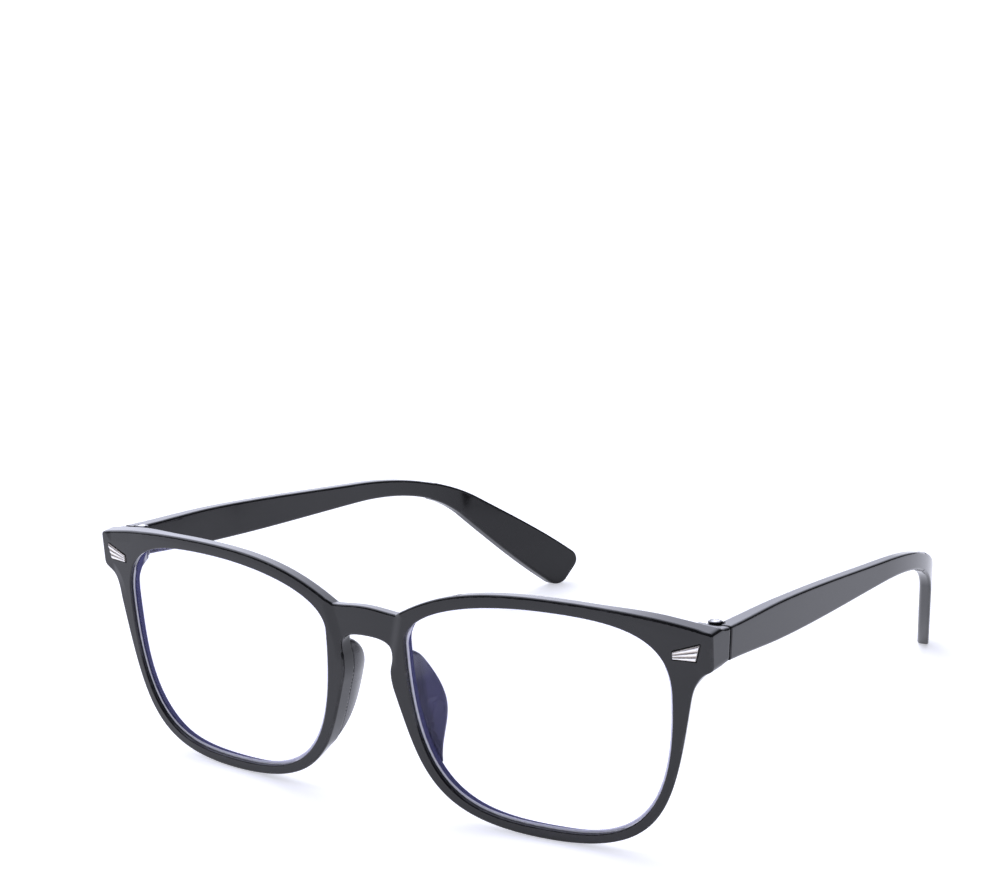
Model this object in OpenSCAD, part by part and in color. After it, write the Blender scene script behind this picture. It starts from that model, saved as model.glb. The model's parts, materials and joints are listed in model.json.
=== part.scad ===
// Full-rim blue light glasses: a moulded front with two lenses, bonded nose pads and
// inlaid trims, and two temples on five-knuckle screw hinges.
// The glasses stand open on a table: +Z is up, the lenses face -Y, the temples point to +Y.
// The wearer's left is +X. The origin is on the table, under the middle of the whole object.
// Inside, the front is drawn upright: Y = 0 on the middle of its front face and
// Z = 0 at the middle of the lens openings. Each hinge and temple is drawn in its own
// frame: origin on the hinge axis, Z along the axis, Y along the temple.

/* [Lens openings] */
// Width of each lens opening
lens_w = 52.6; // [50:0.2:55]
// Height of each lens opening
lens_h = 41.5; // [38:0.5:43]
// Gap between the two lens openings at their closest
bridge_gap = 17.9; // [16:0.1:20]
// Thickness of each lens
lens_t = 1.9; // [1.6:0.1:2.2]
// How far the lens edge sits in the groove of the rim
lens_bite = 0.7; // [0.5:0.1:0.9]

/* [Front] */
// Width over the two end pieces
overall_w = 138; // [136:0.5:141]
// Depth of the rims from front to back
rim_depth = 3.4; // [3.2:0.1:4]
// Width of the rim above the lens
rim_top = 2.4; // [2.2:0.1:3]
// Width of the rim below the lens
rim_bottom = 2.1; // [1.8:0.1:2.6]
// Width of the rim on the temple side of the lens
rim_temple = 3.2; // [3:0.1:3.4]
// Radius of the gentle curve of the front, seen from above
front_r = 363; // [340:1:400]
// How far the bridge face lies behind the rim faces
bridge_recess = 0.45; // [0.3:0.05:0.6]

/* [Temples] */
// Distance from the hinge axis to the start of the bend behind the ear
bend_at = 91; // [88:0.5:96]
// Length of the tip behind the bend, seen from the side
tip_len = 43.6; // [40:0.5:46]
// Angle that the tip drops at the bend
tip_drop = 35.8; // [30:0.5:40]
// Angle between the temples and the square-on direction of the front, seen from the side
panto = 7.9; // [6:0.2:10]
// Angle that the straight part turns inwards, seen from above
toe_in = 3.9; // [3:0.1:4.5]
// Further angle that the tip turns inwards, seen from above
tip_turn = 20.3; // [16:0.5:22]
// Height of the temple at the hinge
root_h = 6.1; // [5.8:0.1:6.4]
// Greatest height of the temple, a little way behind the hinge
broad_h = 7.1; // [6.4:0.1:7.4]
// Least height of the temple, just before the bend
waist_h = 3.5; // [3.2:0.1:4.5]
// Height of the paddle at the tip
paddle_h = 8.8; // [8:0.1:9.4]
// Thickness of the temple at the hinge
root_t = 3.2; // [3:0.1:3.4]
// Thickness of the rest of the temple
arm_t = 2.4; // [2.2:0.1:2.8]

/* [Hinges] */
// Radius of the hinge knuckles
knuckle_r = 1.5; // [1.4:0.05:1.55]
// Height of the whole stack of five knuckles
stack_h = 5.4; // [5.2:0.1:5.6]
// Radius of the hinge screw
screw_r = 0.7; // [0.6:0.05:0.75]
// Running clearance between screw and knuckle
run_gap = 0.05; // [0.03:0.01:0.08]
// Gap between the end piece and the temple when open
seam_gap = 0.1; // [0.08:0.01:0.15]

/* [Nose pads] */
// Height of each pad
pad_h = 23.4; // [20:0.2:24]
// How far the pads reach behind the rims
pad_reach = 6.3; // [5:0.1:7]
// Thickness of each pad
pad_t = 2.2; // [1.8:0.1:2.4]

/* [Trims] */
// Length of the trim plate
trim_w = 4.9; // [4:0.1:5.2]
// Height of the trim plate at its outer end
trim_h = 3; // [2.5:0.1:3.2]
// Depth of the trim plate
trim_t = 0.7; // [0.6:0.05:0.9]

/* [Hidden] */
$fn = 64;
curve_n = 14;                            // steps along each curved stretch of an outline
shell_fn = 720;                          // facets of the large cylinders of the front
fit = 0.03;                              // gap round a piece that is bonded or moulded in
eye_x = (bridge_gap + lens_w) / 2;       // middle of the left lens opening
open_l = bridge_gap / 2;                 // nose side of the opening
open_r = open_l + lens_w;                // temple side of the opening
half_h = lens_h / 2;
half_w = overall_w / 2;
lens_front = 0.85;                       // depth of the lens face behind the rim face
lens_back = lens_front + lens_t;
deep = 30;                               // longer than anything it cuts through

// Lug: the end piece that carries the hinge
lug_top = half_h - 0.8;                  // top of the outer corner of the front
lug_bottom = lug_top - 7;                // bottom of that corner
lug_in = half_w - 6.7;                   // inner wall of the lug
pivot = [half_w - 3.8, 14, lug_top - 3.95];
seam_y = -1.1;                           // front end of the temple in the hinge frame
pocket_r = knuckle_r + 0.2;              // hollow that the knuckles turn in
knuckle_pitch = stack_h / 5;
knuckle_gap = 0.06;
grip_gap = 0.02;                         // round the screw in the knuckle that holds it
leaf_t = 1.5;                            // thickness of the hinge arms
root_in = 0.55;                          // inner face of the temple root
root_out = root_in + root_t;             // outer face of the temple root
plate_in = knuckle_r + 0.1;              // inner face of the hinge plate in the temple
plate_t = 0.9;
plate_front = -0.5;                      // where it starts, just inside the hollow
plate_back = 7.5;
plate_h = 4;
anchor_y = 4.4;                          // how far the front hinge reaches into the lug

// Temple side profile, as a centre line with a height
bend_lead = 24;                          // straight part that the bend takes up before
bend_trail = 13;                         // and behind its corner
broad_at = 22;                           // where the temple is broadest
waist_at = 88;                           // where it is narrowest
thin_at = 30;                            // where the thickness has settled
corner_r = 2.7;                          // rounding of the paddle's corners

// ---- Curves ----
function along(a, b, t) = a + (b - a) * t;
function bezier(p0, p1, p2, p3, n = curve_n) = [for (i = [0:n - 1]) let (t = i / n, s = 1 - t)
    s * s * s * p0 + 3 * s * s * t * p1 + 3 * s * t * t * p2 + t * t * t * p3];
// Quarter turn from a point with a vertical tangent to one with a horizontal tangent
function quarter(v, h, fv, fh) = bezier(v, [v[0], along(v[1], h[1], fv)],
    [along(h[0], v[0], fh), h[1]], h);
function backwards(list) = [for (i = [len(list) - 1:-1:0]) list[i]];
function unit(v) = v / norm(v);
// Closed outline moved outwards by d; its points run clockwise
function grown(pts, d) = [for (i = [0:len(pts) - 1])
    let (n = len(pts), t = unit(pts[(i + 1) % n] - pts[(i + n - 1) % n]))
    pts[i] + d * [-t[1], t[0]]];
function smooth(t) = let (u = max(0, min(1, t))) u * u * (3 - 2 * u);
function face_y(x) = front_r - sqrt(front_r * front_r - x * x);

// ---- Outlines of the front, in X and Z ----
open_nose = [open_l, 0.51 * half_h];
open_top = [eye_x + 2.1, half_h];
open_side = [open_r, 0.38 * half_h];
open_low = [eye_x + 2.5, -half_h];
opening = concat(
    quarter(open_nose, open_top, 0.66, 0.5),
    backwards(quarter(open_side, open_top, 0.81, 0.66)),
    quarter(open_side, open_low, 0.91, 0.56),
    backwards(quarter(open_nose, open_low, 0.92, 0.61)));

bridge_top = [0, half_h - 4.1];
bridge_end = [open_l - 1.8, half_h - 4.6];
rim_crest = [eye_x + 1.8, half_h + rim_top];
lug_crest = [half_w - 0.9, lug_top + 0.15];
lug_side = [half_w, lug_top - 0.8];
lug_heel = [half_w, lug_bottom + 1.2];
lug_foot = [half_w - 1.4, lug_bottom - 0.5];
rim_side = [open_r + rim_temple, 0.3 * half_h];
rim_low = [eye_x + 2.3, -half_h - rim_bottom];
rim_nose = [open_l - 3.05, 0.04 * half_h];
pad_line = [open_l - 3.65, half_h - 16];
neck = [open_l - 3.2, half_h - 12.9];
arch_top = [0, half_h - 10.1];
half_outline = concat(
    bezier(bridge_top, bridge_top + [3, 0], bridge_end - [2, 0], bridge_end, 5),
    bezier(bridge_end, bridge_end + [7.5, 4.4], rim_crest - [15, 0], rim_crest),
    bezier(rim_crest, rim_crest + [13, 0], lug_crest + [-9, 1.9], lug_crest),
    bezier(lug_crest, lug_crest + [0.7, -0.15], lug_side + [0, 0.5], lug_side, 4),
    bezier(lug_side, lug_side, lug_heel, lug_heel, 2),
    bezier(lug_heel, lug_heel - [0, 1.1], lug_foot + [0.7, 0.4], lug_foot, 5),
    bezier(lug_foot, lug_foot - [2, 1.3], rim_side + [0.6, 3.2], rim_side, 8),
    bezier(rim_side, rim_side - [3.6, 19.4], rim_low + [21.8, 0], rim_low),
    bezier(rim_low, rim_low - [25, 0], rim_nose + [4.7, -14.7], rim_nose),
    bezier(rim_nose, rim_nose + [-0.5, 1.6], pad_line - [0, 1.2], pad_line, 4),
    bezier(pad_line, pad_line + [0, 1.2], neck - [0, 1.2], neck, 4),
    bezier(neck, neck + [0, 2.3], arch_top + [3.4, 0], arch_top, 8));
outline = concat(half_outline, [arch_top],
    [for (i = [len(half_outline) - 1:-1:1]) [-half_outline[i][0], half_outline[i][1]]]);

// ---- Outlines of the temple ----
tip_dir = [cos(tip_drop), -sin(tip_drop)];
bend = [bend_at, 0];
bend_in = bend - [bend_lead, 0];
bend_out = bend + bend_trail * tip_dir;
tip_end = bend + tip_len * tip_dir;
bend_n = 16;
function bend_point(t, a, b, c) = (1 - t) * (1 - t) * a + 2 * t * (1 - t) * b + t * t * c;
root_n = 12;
tip_n = 10;
centre_line = concat(
    [for (i = [0:root_n - 1]) along([seam_y, 0], bend_in, i / root_n)],
    [for (i = [0:bend_n - 1]) bend_point(i / bend_n, bend_in, bend, bend_out)],
    [for (i = [0:tip_n]) along(bend_out, tip_end - corner_r * tip_dir, i / tip_n)]);
// Distance along the temple, close enough to its true arc length
function arm_s(p) = p[0] < bend_at ? p[0] - seam_y : bend_at - seam_y + norm(p - bend);
paddle_at = bend_at - seam_y + tip_len - corner_r - 2;
function arm_h(s) = s < broad_at ? along(root_h, broad_h, smooth(s / broad_at))
    : s < waist_at ? along(broad_h, waist_h, smooth((s - broad_at) / (waist_at - broad_at)))
    : along(waist_h, paddle_h, smooth((s - waist_at) / (paddle_at - waist_at)));
function line_normal(pts, i) = let (t = unit(pts[min(i + 1, len(pts) - 1)] - pts[max(i - 1, 0)]))
    [-t[1], t[0]];
function edge(side) = [for (i = [0:len(centre_line) - 1]) centre_line[i]
    + side * arm_h(arm_s(centre_line[i])) / 2 * line_normal(centre_line, i)];
tip_normal = [sin(tip_drop), cos(tip_drop)];
function corner_centre(side) = tip_end - corner_r * tip_dir
    + side * (paddle_h / 2 - corner_r) * tip_normal;
corner_step = 10;
function corner(side) = [for (a = [corner_step:corner_step:90]) corner_centre(side)
    + corner_r * (side * cos(a) * tip_normal + sin(a) * tip_dir)];
side_outline = concat(edge(1), corner(1), backwards(concat(edge(-1), corner(-1))));

// Seen from above, as [X, Y]: the outer face, then the inner face
function turned(angle) = [-sin(angle), cos(angle)];
toe_dir = turned(toe_in);
tip_plan = turned(toe_in + tip_turn);
root_corner = [root_out, seam_y];
plan_bend = root_corner + (bend_at - seam_y) / cos(toe_in) * toe_dir;
outer_face = concat([root_corner],
    [for (i = [0:bend_n]) bend_point(i / bend_n, plan_bend - bend_lead * toe_dir,
        plan_bend, plan_bend + bend_trail * tip_plan)],
    [plan_bend + (tip_len + 6) * tip_plan]);
arm_face = [for (i = [1:len(outer_face) - 1]) outer_face[i] + arm_t * line_normal(outer_face, i)];
thin_face = root_corner + thin_at * toe_dir + arm_t * [-toe_dir[1], toe_dir[0]];
plan_outline = concat(outer_face, backwards(arm_face), [thin_face], [[root_in, seam_y]]);

// ---- How the glasses stand ----
// The lowest corner of the paddle and the bottom of the rim touch the table together
function from_hinge(p) = [pivot[1] + p[0] * cos(panto) + p[1] * sin(panto),
    pivot[2] - p[0] * sin(panto) + p[1] * cos(panto)];
paddle_corner = from_hinge(corner_centre(-1));
rim_foot = [face_y(rim_low[0]), rim_low[1]];
reach = paddle_corner - rim_foot;
stand = asin(corner_r / norm(reach)) - atan2(reach[1], reach[0]);
function stood_y(y, z) = y * cos(stand) - z * sin(stand);
function stood_z(y, z) = y * sin(stand) + z * cos(stand);
tip_back = from_hinge(corner_centre(1));
front_y = min([for (p = half_outline) if (p[0] > open_l) stood_y(face_y(p[0]), p[1])]);
back_y = corner_r + stood_y(tip_back[0], tip_back[1]);
floor_z = min([for (p = half_outline) stood_z(face_y(p[0]), p[1])]);

module standing() {
    translate([0, -(front_y + back_y) / 2, -floor_z]) rotate([stand, 0, 0]) children();
}

module at_hinge() {
    translate(pivot) rotate([-panto, 0, 0]) children();
}

// An outline in X and Z, extruded from y0 to y1
module upright(pts, y0, y1) {
    translate([0, y1, 0]) rotate([90, 0, 0]) linear_extrude(y1 - y0) polygon(pts);
}

// The curved layer of the front between two depths behind its face
module layer(front, back) {
    translate([0, front_r, -2 * half_h]) difference() {
        cylinder(r = front_r - front, h = 4 * half_h, $fn = shell_fn);
        translate([0, 0, -1]) cylinder(r = front_r - back, h = 4 * half_h + 2, $fn = shell_fn);
    }
}

module both() {
    children();
    mirror([1, 0, 0]) children();
}

// ---- Front ----
lug_plan = [[lug_in - 4.6, 0], [half_w + 1, 0], [half_w + 1, deep], [lug_in, deep],
    [lug_in, 12], [lug_in - 0.9, 10.4], [lug_in - 2.6, 9], [lug_in - 4.6, 8.2]];
lug_side_view = [[3, lug_top + 3], [7.5, lug_top + 0.35], [14, lug_top - 1], [14, lug_bottom + 0.05],
    [9.5, lug_bottom - 0.1], [7.5, lug_bottom - 2], [3, lug_bottom - 9]];

module lug() {
    intersection() {
        upright(outline, 0, deep);
        translate([0, front_r, -2 * half_h]) cylinder(r = front_r, h = 4 * half_h, $fn = shell_fn);
        translate([0, 0, -2 * half_h]) linear_extrude(4 * half_h) polygon(lug_plan);
        rotate([90, 0, 90]) linear_extrude(2 * half_w) polygon(lug_side_view);
        at_hinge() translate([-deep, seam_y - seam_gap - 2 * deep, -deep])
            cube([2 * deep, 2 * deep, 2 * deep]);
    }
}

module bridge_cut() {
    upright([[-open_l + 2.4, half_h], [open_l - 2.4, half_h], [open_l - 1.4, half_h - 5],
        [neck[0] - 0.2, neck[1]], [-neck[0] + 0.2, neck[1]], [-open_l + 1.4, half_h - 5]],
        -1, bridge_recess);
}

module frame_front() {
    color([0.06, 0.06, 0.07]) standing() difference() {
        union() {
            intersection() {
                upright(outline, 0, deep);
                layer(0, rim_depth);
            }
            both() lug();
        }
        both() upright(opening, -1, deep);
        both() intersection() {
            upright(grown(opening, lens_bite + 0.05), 0, deep);
            layer(lens_front - 0.05, lens_back + 0.05);
        }
        bridge_cut();
        both() at_hinge() {
            translate([0, 0, -deep / 2]) cylinder(r = pocket_r, h = deep);
            front_anchor(fit);
        }
        both() trim_shape(fit);
    }
}

// ---- Lenses ----
module lens() {
    intersection() {
        upright(grown(opening, lens_bite), 0, deep);
        layer(lens_front, lens_back);
    }
}

module left_lens() {
    color([0.75, 0.78, 0.95, 0.35]) standing() lens();
}

module right_lens() {
    color([0.75, 0.78, 0.95, 0.35]) standing() mirror([1, 0, 0]) lens();
}

// ---- Nose pads ----
// From the front a pad is a strip that follows the nose side of the rim, turned outwards
// behind it; from the side it is a leaf
pad_top = [open_l - 2.1, half_h - 12.2];     // middle of its upper end, in X and Z
pad_splay = 14;                              // how far it turns outwards, seen from above
pad_root = 1.2;                              // part of the leaf that the rim's back trims off
leaf_back = [pad_reach, -0.44 * pad_h];      // where it reaches furthest back
leaf = concat(
    bezier([-pad_root, 0], [0.35 * pad_reach, 0], [pad_reach, -0.16 * pad_h], leaf_back),
    bezier(leaf_back, [pad_reach, -0.66 * pad_h], [0.35 * pad_reach, -0.8 * pad_h], [-pad_root, -pad_h]),
    [[-pad_root, -pad_h]]);
rim_low_curve = bezier(rim_low, rim_low - [25, 0], rim_nose + [4.7, -14.7], rim_nose);
nose_edge = concat([for (i = [5:curve_n - 1]) rim_low_curve[i]],
    bezier(rim_nose, rim_nose + [-0.5, 1.6], pad_line - [0, 1.2], pad_line, 4),
    bezier(pad_line, pad_line + [0, 1.2], neck - [0, 1.2], neck, 4), [neck, neck + [0.2, 1]]);
function nose_strip(inset) = [for (i = [0:len(nose_edge) - 1])
    nose_edge[i] - inset * line_normal(nose_edge, i)];
pad_strip = concat(nose_strip(fit), backwards(nose_strip(fit + pad_t)));

module nose_pad() {
    rim_back = face_y(pad_top[0]) + rim_depth;
    intersection() {
        translate([pad_top[0], rim_back, 0]) rotate([0, 0, -pad_splay]) translate([-pad_top[0], 0, 0])
            upright(pad_strip, -pad_root - 2, 2 * pad_reach);
        translate([0, rim_back, pad_top[1]]) rotate([90, 0, 90]) linear_extrude(half_w) polygon(leaf);
        translate([0, front_r, -2 * half_h])
            cylinder(r = front_r - rim_depth - fit, h = 4 * half_h, $fn = shell_fn);
    }
}

module left_nose_pad() {
    color([0.1, 0.1, 0.11]) standing() nose_pad();
}

module right_nose_pad() {
    color([0.1, 0.1, 0.11]) standing() mirror([1, 0, 0]) nose_pad();
}

// ---- Trims ----
trim_at = [half_w - 4.6, lug_top - 3.95];
trim_pin_r = 0.5;
trim_pin_len = 1.3;
trim_proud = 0.35;                           // how far the plate stands out of the front
trim_plate = [[-trim_w / 2, -0.36 * trim_h], [-trim_w / 2, 0.07 * trim_h],
    [trim_w / 2, 0.62 * trim_h], [0.34 * trim_w, -0.38 * trim_h]];

// Plate with two pins, grown by gap all round
module trim_shape(gap) {
    translate([trim_at[0], face_y(trim_at[0]), trim_at[1]])
        rotate([0, 0, asin(trim_at[0] / front_r)]) {
            upright(grown(trim_plate, gap), -trim_proud, trim_t - trim_proud + gap);
            for (x = [-1.2, 1.1])
                translate([x, 0, 0]) rotate([-90, 0, 0])
                    cylinder(r = trim_pin_r + gap, h = trim_pin_len + gap);
        }
}

module left_trim() {
    color([0.75, 0.73, 0.7]) standing() trim_shape(0);
}

module right_trim() {
    color([0.75, 0.73, 0.7]) standing() mirror([1, 0, 0]) trim_shape(0);
}

// ---- Hinges ----
front_knuckles = [0, 2, 4];                  // counted from the bottom
temple_knuckles = [1, 3];
knuckle_h = knuckle_pitch - knuckle_gap;
function knuckle_z(i) = -stack_h / 2 + i * knuckle_pitch + knuckle_gap / 2;

module knuckles(list) {
    for (i = list)
        translate([0, 0, knuckle_z(i)]) cylinder(r = knuckle_r, h = knuckle_h);
}

// The parts of the front hinge that are moulded into the lug: an anchor and three arms.
// With a gap it is the slot for them, and opens into the hollow round the knuckles.
module front_anchor(gap) {
    arm_y = pocket_r + 0.2;
    anchor_end = gap > 0 ? pocket_r - 0.5 : pocket_r + 0.05;
    translate([-leaf_t / 2 - gap, -anchor_y - gap, -stack_h / 2 + 0.4 - gap])
        cube([leaf_t + 2 * gap, anchor_y + gap - anchor_end, stack_h - 0.8 + 2 * gap]);
    for (i = front_knuckles)
        translate([-leaf_t / 2 - gap, -arm_y - gap, knuckle_z(i) - gap])
            cube([leaf_t + 2 * gap, arm_y + gap, knuckle_h + 2 * gap]);
}

module front_hinge() {
    difference() {
        union() {
            front_anchor(0);
            knuckles(front_knuckles);
        }
        // The screw grips the bottom knuckle and runs free in the others
        translate([0, 0, -stack_h]) cylinder(r = screw_r + grip_gap, h = stack_h);
        translate([0, 0, knuckle_z(1)]) cylinder(r = screw_r + run_gap, h = stack_h);
    }
}

// The part of the temple hinge that is moulded into the temple
module temple_anchor(gap) {
    translate([plate_in - gap, plate_front - gap, -plate_h / 2 - gap])
        cube([plate_t + 2 * gap, plate_back - plate_front + 2 * gap, plate_h + 2 * gap]);
    for (i = temple_knuckles)
        translate([0, -leaf_t / 2 - gap, knuckle_z(i) - gap])
            cube([plate_in + gap, leaf_t + 2 * gap, knuckle_h + 2 * gap]);
}

module temple_hinge() {
    difference() {
        union() {
            temple_anchor(0);
            knuckles(temple_knuckles);
        }
        translate([0, 0, -deep / 2]) cylinder(r = screw_r + run_gap, h = deep);
    }
}

screw_head_r = 1.3;
screw_head_h = 0.6;
slot_w = 0.3;
slot_depth = 0.25;

module hinge_screw() {
    head_z = stack_h / 2 + 0.02;
    difference() {
        union() {
            translate([0, 0, -stack_h / 2]) cylinder(r = screw_r, h = stack_h + 0.1);
            translate([0, 0, head_z]) cylinder(r = screw_head_r, h = screw_head_h);
        }
        translate([-2 * screw_head_r, -slot_w / 2, head_z + screw_head_h - slot_depth])
            cube([4 * screw_head_r, slot_w, 1]);
    }
}

module left_front_hinge() {
    color([0.45, 0.45, 0.47]) standing() at_hinge() front_hinge();
}

module right_front_hinge() {
    color([0.45, 0.45, 0.47]) standing() mirror([1, 0, 0]) at_hinge() front_hinge();
}

module left_temple_hinge() {
    color([0.4, 0.4, 0.42]) standing() at_hinge() temple_hinge();
}

module right_temple_hinge() {
    color([0.4, 0.4, 0.42]) standing() mirror([1, 0, 0]) at_hinge() temple_hinge();
}

module left_hinge_screw() {
    color([0.8, 0.8, 0.82]) standing() at_hinge() hinge_screw();
}

module right_hinge_screw() {
    color([0.8, 0.8, 0.82]) standing() mirror([1, 0, 0]) at_hinge() hinge_screw();
}

// ---- Temples ----
module temple() {
    difference() {
        intersection() {
            translate([-deep * 2, 0, 0]) rotate([90, 0, 90]) linear_extrude(4 * deep) polygon(side_outline);
            translate([0, 0, -2 * deep]) linear_extrude(4 * deep) polygon(plan_outline);
        }
        translate([0, 0, -deep / 2]) cylinder(r = pocket_r, h = deep);
        temple_anchor(fit);
    }
}

module left_temple() {
    color([0.08, 0.08, 0.09]) standing() at_hinge() temple();
}

module right_temple() {
    color([0.08, 0.08, 0.09]) standing() mirror([1, 0, 0]) at_hinge() temple();
}

frame_front();
left_lens();
right_lens();
left_nose_pad();
right_nose_pad();
left_trim();
right_trim();
left_front_hinge();
right_front_hinge();
left_hinge_screw();
right_hinge_screw();
left_temple();
right_temple();
left_temple_hinge();
right_temple_hinge();
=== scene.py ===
"""Blue light glasses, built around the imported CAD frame.

Each rigid piece is described once as a distance function in millimetres (negative inside), in the
frame of the front or of a hinge, and meshed from it. The front frame has Y = 0 on the middle of the
front's face and Z = 0 at the middle of the lens openings. A hinge frame has its origin on the hinge
axis, Z along the axis and Y along the temple.
"""
import json
import math

import bpy
import numpy as np
from mathutils import Matrix, Vector


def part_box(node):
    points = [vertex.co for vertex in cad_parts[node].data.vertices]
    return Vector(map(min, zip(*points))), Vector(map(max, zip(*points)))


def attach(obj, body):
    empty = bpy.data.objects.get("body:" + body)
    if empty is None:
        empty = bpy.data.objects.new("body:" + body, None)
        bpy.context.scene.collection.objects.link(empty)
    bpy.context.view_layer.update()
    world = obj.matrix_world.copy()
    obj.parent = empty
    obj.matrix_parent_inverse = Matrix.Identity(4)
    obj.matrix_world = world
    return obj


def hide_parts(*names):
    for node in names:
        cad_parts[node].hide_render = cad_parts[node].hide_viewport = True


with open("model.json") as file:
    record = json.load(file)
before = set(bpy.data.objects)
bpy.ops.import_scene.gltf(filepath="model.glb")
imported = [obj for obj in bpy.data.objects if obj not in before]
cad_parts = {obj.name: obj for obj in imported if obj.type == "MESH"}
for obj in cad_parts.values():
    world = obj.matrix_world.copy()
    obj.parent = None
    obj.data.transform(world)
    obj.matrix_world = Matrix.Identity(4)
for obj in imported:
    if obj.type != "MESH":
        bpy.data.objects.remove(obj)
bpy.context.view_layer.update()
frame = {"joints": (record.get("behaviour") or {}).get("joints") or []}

MM = 0.001

# ---------------------------------------------------------------- driving sizes, in millimetres
front_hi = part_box("frame_front")[1]
lens_lo, lens_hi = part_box("left_lens")
LENS_BITE = 0.7                      # lens edge hidden in the groove
HALF_W = front_hi.x / MM             # half the overall width
OPEN_L = lens_lo.x / MM + LENS_BITE  # nose side of the left opening
OPEN_R = lens_hi.x / MM - LENS_BITE  # temple side of it
EYE_X = (OPEN_L + OPEN_R) / 2
HALF_H = 41.5 / 2                    # half the height of the openings
FRONT_R = 363.0                      # radius of the front, seen from above
RIM_DEPTH = 3.4
RIM_TOP, RIM_BOTTOM, RIM_TEMPLE = 2.4, 2.1, 3.2
LENS_FRONT, LENS_T = 0.85, 1.9
LUG_TOP = HALF_H - 0.8
LUG_BOTTOM = LUG_TOP - 7
LUG_IN = HALF_W - 6.7
PIVOT = (HALF_W - 3.8, 14, LUG_TOP - 3.95)
PANTO = 7.9                          # slope of the temples against the front, degrees
SEAM_Y, SEAM_GAP = -1.1, 0.1         # front end of the temple in the hinge frame
KNUCKLE_R, STACK_H, KNUCKLE_GAP = 1.5, 5.4, 0.06
POCKET_R = KNUCKLE_R + 0.2
SCREW_R, RUN_GAP = 0.7, 0.05

# ---------------------------------------------------------------- frames
fold = {j["name"]: j for j in frame["joints"]}["left_temple_fold"]
pivot_row, hinge_axis = Vector(fold["pos_m"]), Vector(fold["axis"])
hinge_lean = math.atan2(hinge_axis.y, hinge_axis.z)
stand = math.radians(PANTO) - hinge_lean
IN_HINGE = Matrix.Translation(pivot_row) @ Matrix.Rotation(-hinge_lean, 4, "X") @ Matrix.Scale(MM, 4)
IN_FRONT = (Matrix.Translation(pivot_row) @ Matrix.Rotation(stand, 4, "X") @ Matrix.Scale(MM, 4)
            @ Matrix.Translation(-Vector(PIVOT)))
MIRROR = Matrix.Scale(-1, 4, (1, 0, 0))


# ---------------------------------------------------------------- curves
def bezier(p0, p1, p2, p3, n=160):
    t = np.linspace(0, 1, n, endpoint=False)[:, None]
    p0, p1, p2, p3 = (np.array(p, float) for p in (p0, p1, p2, p3))
    return (1 - t)**3 * p0 + 3 * (1 - t)**2 * t * p1 + 3 * (1 - t) * t**2 * p2 + t**3 * p3


def quarter(v, h, fv, fh):
    """From a point with a vertical tangent to one with a horizontal tangent."""
    return bezier(v, (v[0], v[1] + (h[1] - v[1]) * fv), (h[0] + (v[0] - h[0]) * fh, h[1]), h)


def quarter_back(v, h, fv, fh):
    """The same stretch, run the other way."""
    return bezier(h, (h[0] + (v[0] - h[0]) * fh, h[1]), (v[0], v[1] + (h[1] - v[1]) * fv), v)


def smooth(t):
    """0 below 0, 1 above 1, and an even slope between them."""
    t = np.clip(t, 0, 1)
    return t * t * (3 - 2 * t)


def line_normals(line):
    """Unit vectors to the left of an open line, one at each point."""
    step = np.gradient(line, axis=0)
    step /= np.linalg.norm(step, axis=1)[:, None]
    return np.stack([-step[:, 1], step[:, 0]], 1)


def face_y(x):
    """Y of the front's curved face."""
    return FRONT_R - np.sqrt(FRONT_R**2 - x * x)


def opening_outline():
    """Outline of the left lens opening, in X and Z."""
    nose, top = (OPEN_L, 0.51 * HALF_H), (EYE_X + 2.1, HALF_H)
    side, low = (OPEN_R, 0.38 * HALF_H), (EYE_X + 2.5, -HALF_H)
    return np.concatenate([quarter(nose, top, 0.66, 0.5), quarter_back(side, top, 0.81, 0.66),
                           quarter(side, low, 0.91, 0.56), quarter_back(nose, low, 0.92, 0.61)])


BRIDGE_END = np.array([OPEN_L - 1.8, HALF_H - 4.6])    # where the bridge's top meets the rim's
NECK = np.array([OPEN_L - 3.2, HALF_H - 12.9])         # where its arch meets the nose side of the rim


def front_outline():
    """Closed outline of the whole front, clockwise, from its left half."""
    def v(x, z):
        return np.array([x, z])
    bridge_top = v(0, HALF_H - 4.1)
    crest = v(EYE_X + 1.8, HALF_H + RIM_TOP)
    lug_crest, lug_side = v(HALF_W - 0.9, LUG_TOP + 0.15), v(HALF_W, LUG_TOP - 0.8)
    heel, foot = v(HALF_W, LUG_BOTTOM + 1.2), v(HALF_W - 1.4, LUG_BOTTOM - 0.5)
    side = v(OPEN_R + RIM_TEMPLE, 0.3 * HALF_H)
    low = v(EYE_X + 2.3, -HALF_H - RIM_BOTTOM)
    nose = v(OPEN_L - 3.05, 0.04 * HALF_H)
    pad_line, arch = v(OPEN_L - 3.65, HALF_H - 16), v(0, HALF_H - 10.1)
    half = np.concatenate([
        bezier(bridge_top, bridge_top + (3, 0), BRIDGE_END - (2, 0), BRIDGE_END, 20),
        bezier(BRIDGE_END, BRIDGE_END + (7.5, 4.4), crest - (15, 0), crest),
        bezier(crest, crest + (13, 0), lug_crest + (-9, 1.9), lug_crest),
        bezier(lug_crest, lug_crest + (0.7, -0.15), lug_side + (0, 0.5), lug_side, 10),
        bezier(lug_side, lug_side, heel, heel, 4),
        bezier(heel, heel - (0, 1.1), foot + (0.7, 0.4), foot, 12),
        bezier(foot, foot - (2, 1.3), side + (0.6, 3.2), side, 24),
        bezier(side, side - (3.6, 19.4), low + (21.8, 0), low),
        bezier(low, low - (25, 0), nose + (4.7, -14.7), nose),
        bezier(nose, nose + (-0.5, 1.6), pad_line - (0, 1.2), pad_line, 12),
        bezier(pad_line, pad_line + (0, 1.2), NECK - (0, 1.2), NECK, 12),
        bezier(NECK, NECK + (0, 2.3), arch + (3.4, 0), arch, 24)])
    return np.concatenate([half, [arch], half[:0:-1] * (-1, 1)])


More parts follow.
